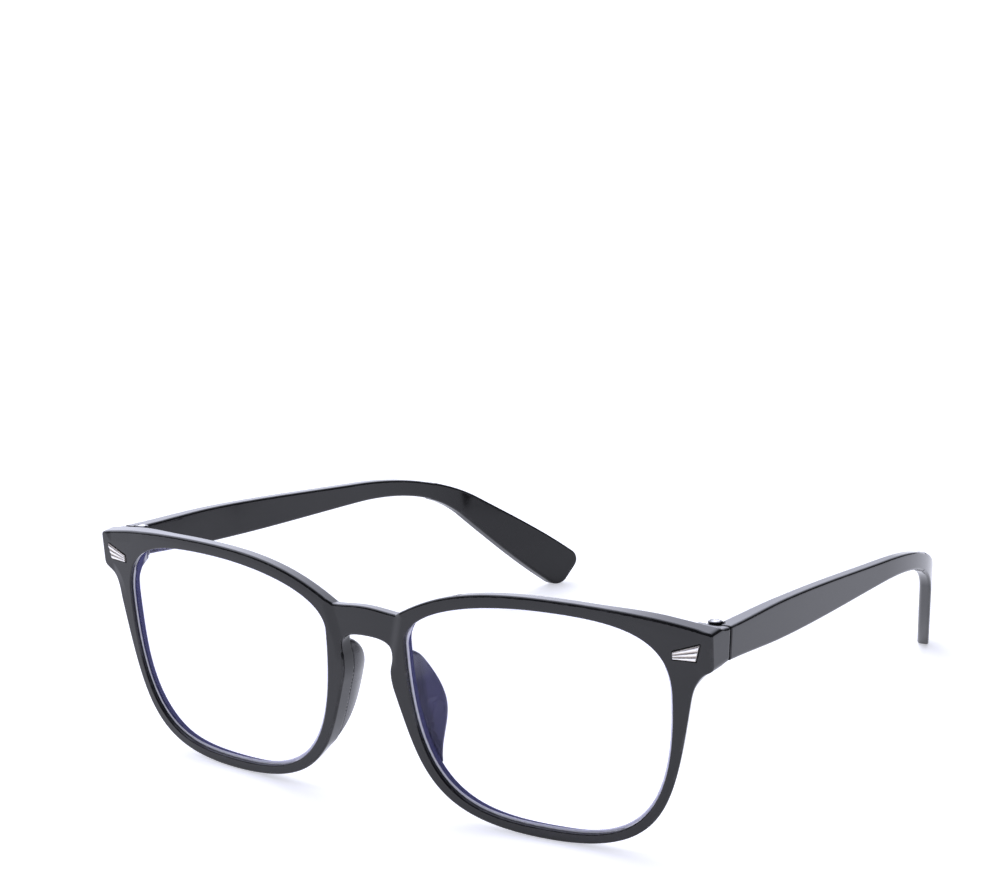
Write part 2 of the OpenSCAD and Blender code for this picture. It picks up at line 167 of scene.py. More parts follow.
# ---------------------------------------------------------------- distance functions
def dense(points, step=0.2):
    """The same closed outline with no stretch longer than step, running counter-clockwise."""
    points = np.array(points, float)
    ends = np.roll(points, -1, 0)
    if (points[:, 0] * ends[:, 1] - ends[:, 0] * points[:, 1]).sum() < 0:
        points = points[::-1]
    out = []
    for p, q in zip(points, np.roll(points, -1, 0)):
        n = int(np.ceil(np.linalg.norm(q - p) / step))
        out.append(p + (q - p) * (np.arange(n) / max(n, 1))[:, None])
    return np.concatenate(out)


def polygon_distance(points, at):
    """Signed distance from each row of at to a dense counter-clockwise outline."""
    step = np.roll(points, -1, 0) - points
    length2 = (step**2).sum(1)
    normal = np.stack([step[:, 1], -step[:, 0]], 1) / np.sqrt(length2)[:, None]
    corner = normal + np.roll(normal, 1, 0)
    out = np.empty(len(at))
    for lo in range(0, len(at), 4000):
        p = at[lo:lo + 4000]
        nearest = ((points**2).sum(1) - 2 * p @ points.T).argmin(1)
        best, sign = np.full(len(p), np.inf), np.ones(len(p))
        for k in ((nearest - 1) % len(points), nearest):
            rel = p - points[k]
            t = np.clip((rel * step[k]).sum(1) / length2[k], 0, 1)
            gap = rel - t[:, None] * step[k]
            size = np.linalg.norm(gap, axis=1)
            out_dir = np.where(t[:, None] <= 0, corner[k],
                               np.where(t[:, None] >= 1, corner[(k + 1) % len(points)], normal[k]))
            better = size < best
            best = np.where(better, size, best)
            sign = np.where(better, np.where((gap * out_dir).sum(1) < 0, -1, 1), sign)
        out[lo:lo + 4000] = best * sign
    return out


class Outline:
    """Signed distance to an outline, held on a grid and read back with smooth cubic steps."""

    def __init__(self, points, cell=0.2, margin=2.0):
        points = dense(points)
        self.cell = cell
        self.lo = points.min(0) - margin
        self.n = np.ceil((points.max(0) + margin - self.lo) / cell).astype(int) + 1
        u, v = np.meshgrid(*[self.lo[k] + cell * np.arange(self.n[k]) for k in (0, 1)], indexing="ij")
        at = np.stack([u.ravel(), v.ravel()], 1)
        self.grid = polygon_distance(points, at).reshape(u.shape)

    def __call__(self, a, b):
        a, b = np.broadcast_arrays(a, b)
        at, frac, beyond = [], [], 0
        for k, c in enumerate((a, b)):
            s = (c - self.lo[k]) / self.cell
            kept = np.clip(s, 1, self.n[k] - 2.001)
            beyond = beyond + ((s - kept) * self.cell)**2
            i = kept.astype(int)
            at.append(i)
            frac.append(kept - i)
        w = [self.weights(f) for f in frac]
        flat = self.grid.ravel()
        base = (at[0] - 1) * self.n[1] + at[1] - 1
        total = np.zeros(a.shape)
        for i in range(4):
            row = np.zeros(a.shape)
            for j in range(4):
                row += w[1][j] * flat[base + i * self.n[1] + j]
            total += w[0][i] * row
        return total + np.sqrt(beyond)

    @staticmethod
    def weights(t):
        return (0.5 * t * (-1 + t * (2 - t)), 0.5 * (2 + t * t * (3 * t - 5)),
                0.5 * t * (1 + t * (4 - 3 * t)), 0.5 * t * t * (t - 1))


def both(a, b, r):
    """Intersection of two solids, its edge rounded to radius r."""
    return np.minimum(-r, np.maximum(a, b)) + np.hypot(np.maximum(a + r, 0), np.maximum(b + r, 0))


def either(a, b, r):
    """Union of two solids, its inner corner filled to radius r."""
    return np.maximum(r, np.minimum(a, b)) - np.hypot(np.maximum(r - a, 0), np.maximum(r - b, 0))


def block(x, y, z, lo, hi, r=0.0):
    """Box between two corners with rounded edges."""
    mid = [(p + q) / 2 for p, q in zip(lo, hi)]
    d = [np.abs(c - m) - (q - p) / 2 + r for c, m, p, q in zip((x, y, z), mid, lo, hi)]
    outside = np.sqrt(sum(np.maximum(c, 0)**2 for c in d))
    return outside + np.minimum(np.maximum(np.maximum(d[0], d[1]), d[2]), 0) - r


def disc(x, y, z, radius, z0, z1, r):
    """Upright cylinder on the Z axis with rounded rims."""
    return both(np.hypot(x, y) - radius, np.maximum(z0 - z, z - z1), r)


# ---------------------------------------------------------------- meshing
CORNERS = np.array([(i, j, k) for i in (0, 1) for j in (0, 1) for k in (0, 1)])
EDGES = [(p, q) for p in range(8) for q in range(8)
         if p < q and np.abs(CORNERS[p] - CORNERS[q]).sum() == 1]


def gradient(solid, p, step=0.02):
    g = np.empty_like(p)
    for k in range(3):
        d = np.zeros(3)
        d[k] = step
        g[:, k] = (solid(*(p + d).T) - solid(*(p - d).T)) / (2 * step)
    return g


def even(lo, hi, cell):
    """Grid lines over a stretch, with two cells to spare at each end."""
    return lo + cell * np.arange(-2, np.ceil((hi - lo) / cell) + 3)


def stretches(start, *parts):
    """Grid lines over neighbouring stretches, each given by its end and its cell."""
    lines = [np.array([start])]
    for end, cell in parts:
        at = lines[-1][-1]
        n = int(np.ceil((end - at) / cell))
        lines.append(at + (end - at) * np.arange(1, n + 1) / n)
    return np.concatenate(lines)


def sample(solid, axes, size=10):
    """Distances on a grid; a block of it far from the surface gets the distance at its middle."""
    n = [len(a) for a in axes]
    first = [np.arange(0, m, size) for m in n]
    last = [np.minimum(f + size - 1, m - 1) for f, m in zip(first, n)]
    mid = np.meshgrid(*[(a[f] + a[l]) / 2 for a, f, l in zip(axes, first, last)], indexing="ij")
    half = np.meshgrid(*[(a[l] - a[f]) / 2 for a, f, l in zip(axes, first, last)], indexing="ij")
    far = solid(*mid)
    value = far
    for k in range(3):
        value = np.repeat(value, size, k)
    value = value[:n[0], :n[1], :n[2]].astype(np.float32)
    near = np.argwhere(np.abs(far) < 1.3 * np.sqrt(sum(h**2 for h in half)) + 0.2)
    for lo in range(0, len(near), 300):
        at = [np.minimum(near[lo:lo + 300, k, None] * size + np.arange(size), n[k] - 1) for k in range(3)]
        i, j, k = at[0][:, :, None, None], at[1][:, None, :, None], at[2][:, None, None, :]
        value[i, j, k] = solid(axes[0][i], axes[1][j], axes[2][k])
    return value


def surface(solid, axes, rounds=3):
    """Points, quads, normals and edge sharpness of the zero level of a distance function."""
    value = sample(solid, axes)
    count = np.array(value.shape)
    inside = value < 0
    number = np.zeros(count - 1, np.uint8)
    for i, j, k in CORNERS:
        number += inside[i:count[0] - 1 + i, j:count[1] - 1 + j, k:count[2] - 1 + k]
    cells = np.argwhere((number > 0) & (number < 8))
    index = np.full(tuple(count - 1), -1, np.int32)
    index[tuple(cells.T)] = np.arange(len(cells))
    total, hits = np.zeros((len(cells), 3)), np.zeros(len(cells))
    for p, q in EDGES:
        a, b = cells + CORNERS[p], cells + CORNERS[q]
        va, vb = value[tuple(a.T)].astype(float), value[tuple(b.T)].astype(float)
        crosses = (va < 0) != (vb < 0)
        t = np.where(crosses, va / np.where(crosses, va - vb, 1), 0)[:, None]
        pa = np.stack([axes[k][a[:, k]] for k in range(3)], 1)
        pb = np.stack([axes[k][b[:, k]] for k in range(3)], 1)
        total += np.where(crosses[:, None], pa + t * (pb - pa), 0)
        hits += crosses
    points = total / hits[:, None]
    quads = []
    for k in range(3):
        u, v = (k + 1) % 3, (k + 2) % 3
        low, high = [slice(None)] * 3, [slice(None)] * 3
        low[k], high[k] = slice(0, -1), slice(1, None)
        at = np.argwhere(inside[tuple(low)] != inside[tuple(high)])
        ring = []
        for du, dv in ((1, 1), (0, 1), (0, 0), (1, 0)):
            c = at.copy()
            c[:, u] -= du
            c[:, v] -= dv
            ring.append(index[tuple(c.T)])
        quad = np.stack(ring, 1)
        backwards = ~inside[tuple(at.T)]
        quad[backwards] = quad[backwards, ::-1]
        quads.append(quad)
    quads = np.concatenate(quads)
    points = relax(solid, points, quads, min(np.diff(a).min() for a in axes), rounds)
    normals = gradient(solid, points)
    normals /= np.linalg.norm(normals, axis=1)[:, None]
    return points, quads, normals, sharpness(solid, points)


def sharpness(solid, p, step=0.06):
    """How tightly the surface turns outwards at each point, 0 to 1."""
    total = -6 * solid(*p.T)
    for k in range(3):
        d = np.zeros(3)
        d[k] = step
        total += solid(*(p + d).T) + solid(*(p - d).T)
    return np.clip(total / step**2 / 3, 0, 1)


def relax(solid, points, quads, cell, rounds):
    """Evens out the mesh and pulls its points onto the surface."""
    pairs = np.concatenate([quads[:, [i, (i + 1) % 4]] for i in range(4)])
    pairs = np.concatenate([pairs, pairs[:, ::-1]])
    degree = np.bincount(pairs[:, 0], minlength=len(points))[:, None]
    for turn in range(rounds):
        middle = np.stack([np.bincount(pairs[:, 0], points[pairs[:, 1], k], len(points))
                           for k in range(3)], 1) / degree
        if turn:
            points = points + 0.4 * (middle - points)
        for _ in range(2):
            g = gradient(solid, points)
            move = solid(*points.T)[:, None] * g / np.maximum((g**2).sum(1), 0.3)[:, None]
            points = points - np.clip(move, -cell, cell)
    return points


def add_piece(name, mesh_data, matrix, body, node, material, mirrored=False):
    """A mesh from points, faces, normals and a value per point, riding on a body."""
    points, faces, normals, value = mesh_data
    if mirrored:
        matrix = MIRROR @ matrix
        faces = [face[::-1] for face in faces]
    mesh = bpy.data.meshes.new(name)
    mesh.from_pydata(points.tolist(), [], [list(map(int, face)) for face in faces])
    mesh.transform(matrix)
    mesh.update()
    mesh.polygons.foreach_set("use_smooth", [True] * len(mesh.polygons))
    mesh.attributes.new("detail", "FLOAT", "POINT").data.foreach_set("value", value.astype(np.float32))
    if normals is None:
        mesh.set_sharp_from_angle(angle=math.radians(28))
    else:
        turned = normals @ np.array(matrix.to_3x3()).T
        turned /= np.linalg.norm(turned, axis=1)[:, None]
        mesh.normals_split_custom_set_from_vertices(turned.tolist())
    mesh.materials.append(material)
    piece = bpy.data.objects.new(name, mesh)
    bpy.context.scene.collection.objects.link(piece)
    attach(piece, body)
    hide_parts(node)


def pair(stem, mesh_data, matrix, material, body=None):
    """The same piece on the left and, mirrored, on the right."""
    for side in ("left", "right"):
        name = f"{side}_{stem}"
        add_piece(name + "_shape", mesh_data, matrix, body or f"{side}_temple", name, material,
                  mirrored=side == "right")


# ---------------------------------------------------------------- shaders
class Shader:
    """The nodes of a material or a world."""

    def __init__(self, owner):
        owner.use_nodes = True
        self.owner = owner
        self.tree = owner.node_tree
        self.tree.nodes.clear()

    def make(self, kind, inputs=None, **settings):
        """Adds a node; an input is a value or the socket that feeds it."""
        node = self.tree.nodes.new("ShaderNode" + kind)
        for key, value in settings.items():
            setattr(node, key, value)
        for key, value in (inputs or {}).items():
            if isinstance(value, bpy.types.NodeSocket):
                self.tree.links.new(value, node.inputs[key])
            else:
                node.inputs[key].default_value = value
        return node

    def math(self, operation, a, b=0.0):
        return self.make("Math", {0: a, 1: b}, operation=operation).outputs[0]

    def fit(self, value, low, high, to_low=0.0, to_high=1.0):
        """A value's range turned smoothly into another."""
        return self.make("MapRange", {"Value": value, "From Min": low, "From Max": high, "To Min": to_low,
                                      "To Max": to_high}, interpolation_type="SMOOTHSTEP").outputs[0]

    def colours(self, factor, first, second):
        node = self.make("Mix", {0: factor}, data_type="RGBA")
        for socket, colour in ((node.inputs[6], first), (node.inputs[7], second)):
            if isinstance(colour, bpy.types.NodeSocket):
                self.tree.links.new(colour, socket)
            else:
                socket.default_value = (*colour, 1)
        return node.outputs[2]

    def noise(self, per_mm, detail=2.0, stretch=(1, 1, 1), offset=0.0):
        """Noise with so many features to the millimetre, drawn out along some axes."""
        place = self.make("TexCoord").outputs["Object"]
        scale = [1000 * per_mm * s for s in stretch]
        mapped = self.make("Mapping", {"Vector": place, "Scale": scale, "Location": (offset,) * 3})
        return self.make("TexNoise", {"Vector": mapped.outputs[0], "Scale": 1.0, "Detail": detail}).outputs[0]

    def detail(self):
        """The value that each point of the mesh carries."""
        return self.make("Attribute", attribute_name="detail").outputs["Fac"]

    def bump(self, *layers):
        """Bump from (height, depth in mm) pairs."""
        normal = None
        for height, depth in layers:
            inputs = {"Height": height, "Strength": 1.0, "Distance": depth * MM}
            if normal:
                inputs["Normal"] = normal
            normal = self.make("Bump", inputs).outputs[0]
        return normal

    def done(self, surface):
        """Ends a material with its surface."""
        self.make("OutputMaterial", {"Surface": surface})
        return self.owner


def gloss_plastic(name, dark, light, rough, shine=0.5):
    """Polished injection-moulded plastic: a faint flow pattern, fine scuffs and rubbed edges; walls marked -1
    get a painted reflection of the lens coating.
    """
    s = Shader(bpy.data.materials.new(name))
    edge = s.detail()
    flow = s.noise(0.06, 3)
    scuff = s.fit(s.noise(0.9, 4, (1, 0.08, 1), 3.1), 0.56, 0.75)
    rub = s.math("MULTIPLY", s.fit(edge, 0.25, 0.9), s.fit(s.noise(0.5, 4, offset=7.7), 0.45, 0.7))
    base = s.colours(s.fit(flow, 0.3, 0.7), dark, light)
    base = s.colours(s.math("MULTIPLY", rub, 0.35), base, (0.09, 0.09, 0.095))
    # painted reflection: seen from the front, the walls marked -1 turn navy and lose their shine. This stands
    # in for the violet reflection of the coated lens over the black walls
    seen_from = s.make("VectorTransform", {"Vector": s.make("NewGeometry").outputs["Incoming"]},
                       vector_type="VECTOR", convert_from="WORLD", convert_to="OBJECT").outputs[0]
    through = s.fit(s.make("SeparateXYZ", {0: seen_from}).outputs["Y"], 0.1, -0.2)
    under = s.math("MULTIPLY", s.fit(edge, -0.3, -0.8), through)   # painted reflection of the coated lens on the walls behind it
    base = s.colours(under, base, (0.062, 0.063, 0.125))
    roughness = s.math("ADD", s.fit(flow, 0.3, 0.7, rough, rough + 0.035),
                       s.math("ADD", s.math("MULTIPLY", scuff, 0.05), s.math("MULTIPLY", rub, 0.12)))
    roughness = s.math("ADD", roughness, s.math("MULTIPLY", under, 0.5))
    shine = s.math("MULTIPLY", shine, s.math("SUBTRACT", 1.0, under))
    normal = s.bump((s.noise(0.22, 1, offset=1.3), 0.004), (s.noise(2.6, 2, offset=5.2), 0.0006))
    return s.done(s.make("BsdfPrincipled", {
        "Base Color": base, "Roughness": roughness, "IOR": 1.5, "Specular IOR Level": shine,
        "Normal": normal}).outputs[0])


def coated_lens():
    """Clear lens with a violet coating; a painted highlight, a bright frosted band on its front face along
    the rim, stands in for the light its edge gathers.
    """
    s = Shader(bpy.data.materials.new("lens_coated"))
    inset = s.detail()                       # distance from the edge of the opening, in mm
    # painted highlight: 1 on a band about 0.05 to 0.55 mm in from the rim, where the bright shader below is
    # drawn
    edge = s.math("MULTIPLY", s.fit(inset, 0.02, 0.08), s.fit(inset, 0.62, 0.46))
    smear = s.fit(s.noise(0.08, 4, (1, 0.5, 1), 2.0), 0.5, 0.75)
    clear = s.make("BsdfTransparent", {"Color": (0.965, 0.965, 0.985, 1)}).outputs[0]
    shine = s.make("BsdfGlossy", {
        "Color": (0.5, 0.48, 1.0, 1), "Roughness": s.math("ADD", 0.012, s.math("MULTIPLY", smear, 0.03)),
        "Normal": s.bump((s.noise(0.05, 1, offset=4.0), 0.002))}).outputs[0]
    facing = s.make("LayerWeight", {"Blend": 0.5}).outputs["Facing"]
    grazing = s.math("POWER", facing, 5.0)
    mirror = s.math("ADD", 0.035, s.math("MULTIPLY", grazing, 0.9))
    body = s.make("MixShader", {0: mirror, 1: clear, 2: shine}).outputs[0]
    # painted highlight: the bright diffuse and translucent band along the rim
    painted_glint_colour = s.colours(s.noise(1.2, 3), (0.86, 0.86, 0.99), (0.96, 0.96, 1.0))
    lit = s.make("MixShader", {0: 0.12, 1: s.make("BsdfDiffuse", {"Color": painted_glint_colour}).outputs[0],
                               2: s.make("BsdfTranslucent", {"Color": painted_glint_colour}).outputs[0]}).outputs[0]
    painted_edge_glint = s.make("MixShader", {0: 0.1, 1: lit, 2: shine}).outputs[0]
    return s.done(s.make("MixShader", {0: edge, 1: body, 2: painted_edge_glint}).outputs[0])


def worn_metal(name, base, groove, rough, grain, depth, stretch=(1, 1, 1)):
    """Metal with a drawn or cast grain, darker in its grooves, with small scratches and stains."""
    s = Shader(bpy.data.materials.new(name))
    low = s.detail()
    stain = s.fit(s.noise(0.7, 4, offset=2.2), 0.42, 0.72)
    tone = s.colours(low, base, groove)
    tone = s.colours(s.math("MULTIPLY", stain, 0.25), tone, tuple(0.55 * c for c in base))
    lines = s.noise(grain, 3, stretch, 1.7)
    scratch = s.fit(s.noise(5.0, 2, (1, 0.05, 0.4), 9.4), 0.62, 0.72)
    roughness = s.math("ADD", s.fit(lines, 0.3, 0.7, rough, rough + 0.14), s.math("MULTIPLY", scratch, 0.1))
    normal = s.bump((lines, depth), (scratch, depth * 0.5))
    return s.done(s.make("BsdfPrincipled", {
        "Base Color": tone, "Metallic": 1.0, "Roughness": roughness, "Normal": normal}).outputs[0])


frame_plastic = gloss_plastic("frame_gloss", (0.0065, 0.0065, 0.0075), (0.0095, 0.0095, 0.0105), 0.07, 0.45)
temple_plastic = gloss_plastic("temple_gloss", (0.0075, 0.0075, 0.0085), (0.011, 0.011, 0.012), 0.08, 0.31)
# painted light: the pads are the frame's black plastic; their lighter colour stands in for the light they
# show through the lens
pad_plastic = gloss_plastic("pad_gloss", (0.03, 0.03, 0.034), (0.045, 0.045, 0.05), 0.24)
lens_glass = coated_lens()
trim_metal = worn_metal("trim_silver", (0.93, 0.91, 0.89), (0.66, 0.6, 0.54), 0.34, 6.0, 0.003, (0.15, 1, 1))
hinge_metal = worn_metal("hinge_black_nickel", (0.085, 0.085, 0.09), (0.04, 0.04, 0.04), 0.22, 4.0, 0.003)
# the screw's light colour shows only in the painted highlight in the middle of its head
screw_metal = worn_metal("screw_steel", (0.86, 0.86, 0.87), (0.03, 0.03, 0.032), 0.2, 5.0, 0.002)

# ---------------------------------------------------------------- front
FACE_ROUND, BACK_ROUND = 0.5, 1.0    # rounding of the front's outer edges
TOP_DRAFT, SIDE_DRAFT = math.tan(math.radians(8)), math.tan(math.radians(21))    # taper of its walls
OPEN_ROUND = 0.28                    # and of the edges of its openings
BROW_SLOPE = math.tan(math.radians(8))
BROW_BAND = 1.35                     # height of the sloped band along the top of the rims
BRIDGE_RECESS = 0.5                  # the bridge's face lies behind that of the rims
TRIM_W, TRIM_H, TRIM_PROUD = 4.9, 3.0, 0.35
TRIM_AT = (HALF_W - 4.6, LUG_TOP - 3.95)
TRIM_GAP, TRIM_WELL = 0.16, 0.45     # gap round the trim and depth of its well

outline = Outline(front_outline())
opening = Outline(opening_outline())
lug_plan = Outline([(LUG_IN - 4.6, 0), (HALF_W + 1, 0), (HALF_W + 1, 16), (LUG_IN, 16), (LUG_IN, 12),
                    (LUG_IN - 0.9, 10.4), (LUG_IN - 2.6, 9), (LUG_IN - 4.6, 8.2)])
lug_side = Outline([(3, LUG_TOP + 3), (7.5, LUG_TOP + 0.35), (14, LUG_TOP - 1), (16, LUG_TOP - 1.4),
                    (16, LUG_BOTTOM + 0.1), (14, LUG_BOTTOM + 0.05), (9.5, LUG_BOTTOM - 0.1),
                    (7.5, LUG_BOTTOM - 2), (3, LUG_BOTTOM - 9)])
trim_points = np.array([(-TRIM_W / 2, -0.36 * TRIM_H), (-TRIM_W / 2, 0.07 * TRIM_H),
                        (TRIM_W / 2, 0.62 * TRIM_H), (0.34 * TRIM_W, -0.38 * TRIM_H)])
trim_plan = Outline(trim_points, cell=0.05, margin=1.0)
# line along which the recess of the bridge ends, from the top down
bridge_edge = np.array([(OPEN_L - 2.4, HALF_H), (OPEN_L - 1.4, HALF_H - 5), NECK - (0.2, 0)])


def hinge_coords(x, y, z):
    """Front coordinates turned into those of the left hinge."""
    c, s = math.cos(math.radians(PANTO)), math.sin(math.radians(PANTO))
    return x - PIVOT[0], (y - PIVOT[1]) * c - (z - PIVOT[2]) * s, (y - PIVOT[1]) * s + (z - PIVOT[2]) * c


def trim_coords(x, y, z):
    """Front coordinates turned into those of the left trim, whose plate lies in X and Z."""
    turn = math.asin(TRIM_AT[0] / FRONT_R)
    dx, dy = x - TRIM_AT[0], y - face_y(TRIM_AT[0])
    return (dx * math.cos(turn) + dy * math.sin(turn), dy * math.cos(turn) - dx * math.sin(turn),
            z - TRIM_AT[1])


def bridge_side(x, z):
    """How far a point lies outside the recessed face of the bridge."""
    return x - np.interp(-z, -bridge_edge[:, 1], bridge_edge[:, 0])


def front_sink(x, z, o):
    """How far the face of the front lies behind its curved layer."""
    band = BROW_BAND + 0.9 * smooth((x - OPEN_R + 6) / 5) - 3.2 * smooth((x - HALF_W + 3.2) / 3.2)
    above = np.maximum(o + band, 0)
    brow = BROW_SLOPE * above**2 / (above + 0.25) * smooth((z - 0.3 * HALF_H) / 6)
    bridge = BRIDGE_RECESS * (1 - smooth(0.35 + bridge_side(x, z) / 2.6)) * smooth((z - NECK[1] + 3.5) / 3.5)
    return np.maximum(brow * smooth(bridge_side(x, z) / 2), bridge)


def widening(depth):
    """How much wider the opening is at some depth than at its face."""
    return 0.2 * np.maximum(depth - LENS_FRONT, 0)


def at_end_piece(x, z):
    """1 over the end piece, fading out over the rim beside and below it."""
    return smooth((x - LUG_IN + 16) / 14) * smooth((z - LUG_BOTTOM + 4) / 3)


def at_pad(x, z):
    """1 on the part of the rim that carries a nose pad."""
    return smooth((OPEN_L + 5 - x) / 3) * smooth((z + 16) / 4) * smooth((NECK[1] + 3 - z) / 3)


def at_side(x, z):
    """1 on the temple side of the rim, below the end piece."""
    return smooth((x - EYE_X) / 16) * smooth((LUG_BOTTOM - 1 - z) / 5)


def front_solid(x, y, z):
    """Rims, bridge and end pieces; the walls taper except at the end pieces and beside the pads."""
    x = np.abs(x)
    o, p = outline(x, z), opening(x, z)
    depth = FRONT_R - np.hypot(x, y - FRONT_R)
    hx, hy, _ = hinge_coords(x, y, z)
    lug = both(both(lug_plan(x, y), lug_side(y, z), 0.8), hy - SEAM_Y + SEAM_GAP, 0.3)
    back = either(depth - RIM_DEPTH, lug, 1.2)
    end_piece, pad = at_end_piece(x, z), at_pad(x, z)
    draft = (TOP_DRAFT + (SIDE_DRAFT - TOP_DRAFT) * at_side(x, z)) * (1 - end_piece) * (1 - pad)
    wall = o + draft * np.clip(depth, 0, RIM_DEPTH)
    solid = both(wall, front_sink(x, z, o) - depth, FACE_ROUND)
    solid = both(solid, back, BACK_ROUND - 0.35 * end_piece - 0.85 * pad)
    solid = both(solid, widening(depth) - p, OPEN_ROUND)
    solid = both(solid, POCKET_R - np.hypot(hx, hy), 0.15)
    tx, ty, tz = trim_coords(x, y, z)
    well = np.maximum(trim_plan(tx, tz) - TRIM_GAP, ty - TRIM_WELL)
    return both(solid, -well, 0.12)


FINE = 0.11
half_x = stretches(0, (TRIM_AT[0] - TRIM_W / 2 - 0.8, 0.25), (HALF_W + 0.3, FINE))
front_axes = (np.concatenate([-half_x[:0:-1], half_x]),
              stretches(-0.4, (4.6, 0.22), (8.0, FINE), (14.2, 0.2)),
              stretches(-HALF_H - RIM_BOTTOM - 0.5, (TRIM_AT[1] - TRIM_H / 2 - 0.6, 0.25),
                        (TRIM_AT[1] + TRIM_H / 2 + 0.9, FINE), (HALF_H + RIM_TOP + 0.5, 0.22)))
points, faces, normals, worn = surface(front_solid, front_axes)
# -1 marks the walls of the openings behind the lenses, which get the painted reflection of the lens coating
behind_lens = (FRONT_R - np.hypot(points[:, 0], points[:, 1] - FRONT_R) > LENS_FRONT + 0.5)
behind_lens &= opening(np.abs(points[:, 0]), points[:, 2]) < 0.65
add_piece("frame_front_shape", (points, faces, normals, np.where(behind_lens, -1, worn)), IN_FRONT, "front",
          "frame_front", frame_plastic)


# ---------------------------------------------------------------- lenses
CLEAR = 2                            # mark of the lens away from the painted highlight along its edge


def lens_mesh():
    """Rings from the middle of the back, round the edge, to the middle of the front."""
    loop = dense(opening_outline(), 0.35)
    turn = np.roll(loop, -1, 0) - np.roll(loop, 1, 0)
    out = np.stack([turn[:, 1], -turn[:, 0]], 1) / np.linalg.norm(turn, axis=1)[:, None]
    middle = np.array([EYE_X, 0])
    back = [(loop - 1.3 * out - middle) * k + middle for k in (0.05, 0.15, 0.3, 0.5, 0.7, 0.86, 0.95)]
    rings = [(r, LENS_FRONT + LENS_T, CLEAR) for r in back]
    rings += [(loop - d * out, LENS_FRONT + LENS_T, CLEAR) for d in (1.3, 0.8, 0.4)]
    spread = widening(LENS_FRONT + LENS_T) + 0.06
    rings += [(loop, LENS_FRONT + LENS_T, CLEAR), (loop + spread * out, LENS_FRONT + LENS_T - 0.06, CLEAR),
              (loop + 0.12 * out, LENS_FRONT + 0.34, CLEAR)]
    rings += [(loop + 0.04 * out, LENS_FRONT + 0.02, 0), (loop, LENS_FRONT, 0.02)]
    rings += [(loop - d * out, LENS_FRONT, d) for d in (0.1, 0.26, 0.5, 0.7, 1.3)]
    rings += [(r, LENS_FRONT, CLEAR) for r in reversed(back)]
    n = len(loop)
    points, value = [], []
    for xz, depth, inset in rings:
        y = FRONT_R - np.sqrt((FRONT_R - depth)**2 - xz[:, 0]**2)
        points.append(np.stack([xz[:, 0], y, xz[:, 1]], 1))
        # towards the top of the opening the value climbs past the band, so the painted highlight fades out
        # there
        value.append(inset + CLEAR * smooth((xz[:, 1] / HALF_H - 0.6) / 0.3))
    points += [points[0].mean(0)[None], points[-1].mean(0)[None]]
    value += [np.array([CLEAR, CLEAR])]
    faces = []
    for r in range(len(rings) - 1):
        for i in range(n):
            j = (i + 1) % n
            faces.append((r * n + i, r * n + j, r * n + n + j, r * n + n + i))
    last = (len(rings) - 1) * n
    for i in range(n):
        j = (i + 1) % n
        faces.append((len(rings) * n, j, i))
        faces.append((len(rings) * n + 1, last + i, last + j))
    return np.concatenate(points), faces, None, np.concatenate(value)


pair("lens", lens_mesh(), IN_FRONT, lens_glass, "front")

# ---------------------------------------------------------------- nose pads
PAD_H, PAD_REACH, PAD_T = 23.4, 6.3, 2.2
PAD_TOP = (OPEN_L - 2.1, HALF_H - 12.2)
PAD_BACK = face_y(PAD_TOP[0]) + RIM_DEPTH    # back of the rim at the pad
PAD_FLARE, PAD_ROOT = 0.05, 1.2      # outward curve behind the rim, and the part the rim trims off
PAD_GAP = 0.03


def pad_leaf():
    """Outline of the pad from the side, in Y and Z from the top of its root."""
    back = (PAD_REACH, -0.44 * PAD_H)
    return np.concatenate([
        bezier((-PAD_ROOT, 0), (0.35 * PAD_REACH, 0), (PAD_REACH, -0.16 * PAD_H), back),
        bezier(back, (PAD_REACH, -0.66 * PAD_H), (0.35 * PAD_REACH, -0.8 * PAD_H), (-PAD_ROOT, -PAD_H)),
        [(-PAD_ROOT, -PAD_H)]])


leaf = Outline(pad_leaf(), cell=0.15)


def pad_solid(x, y, z):
    """A strip under the nose side of the rim, flush with it, curving outwards behind."""
    behind = y - PAD_BACK
    inset = outline(x - PAD_FLARE * np.maximum(behind, 0)**2, z)
    strip = np.abs(inset + PAD_GAP + PAD_T / 2) - PAD_T / 2
    body = both(strip, leaf(behind, z - PAD_TOP[1]), 1.0)
    return both(body, RIM_DEPTH + PAD_GAP - (FRONT_R - np.hypot(x, y - FRONT_R)), 0.12)


pad_axes = (even(OPEN_L - 3.8, OPEN_L + 8, 0.16), even(PAD_BACK - 0.4, PAD_BACK + PAD_REACH, 0.16),
            even(PAD_TOP[1] - PAD_H, PAD_TOP[1], 0.16))
pair("nose_pad", surface(pad_solid, pad_axes), IN_FRONT, pad_plastic, "front")

# ---------------------------------------------------------------- trims
RIDGES, RIDGE_H = 3, 0.13
TRIM_CELL = 0.06


def trim_groove(x, z):
    """0 on a ridge of the trim, 1 in a groove; the ridges close up towards the nose."""
    top = np.interp(x, (-TRIM_W / 2, TRIM_W / 2), (0.07 * TRIM_H, 0.62 * TRIM_H))
    low = -0.37 * TRIM_H
    across = (z - low) / (top - low)
    return 0.5 - 0.5 * np.cos(np.clip(across, 0, 1) * RIDGES * 2 * math.pi)


def trim_solid(x, y, z):
    tx, ty, tz = trim_coords(x, y, z)
    groove = 1 - trim_groove(tx, tz)
    face = -TRIM_PROUD + RIDGE_H * groove**2
    return both(both(trim_plan(tx, tz), face - ty, 0.12), ty - TRIM_WELL, 0.05)


def trim_corners():
    """Corners of the trim's plate from above, in X and Y of the front."""
    turn = math.asin(TRIM_AT[0] / FRONT_R)
    return [(TRIM_AT[0] + a * math.cos(turn) - b * math.sin(turn),
             face_y(TRIM_AT[0]) + a * math.sin(turn) + b * math.cos(turn))
            for a in (-TRIM_W / 2, TRIM_W / 2) for b in (-TRIM_PROUD, TRIM_WELL)]


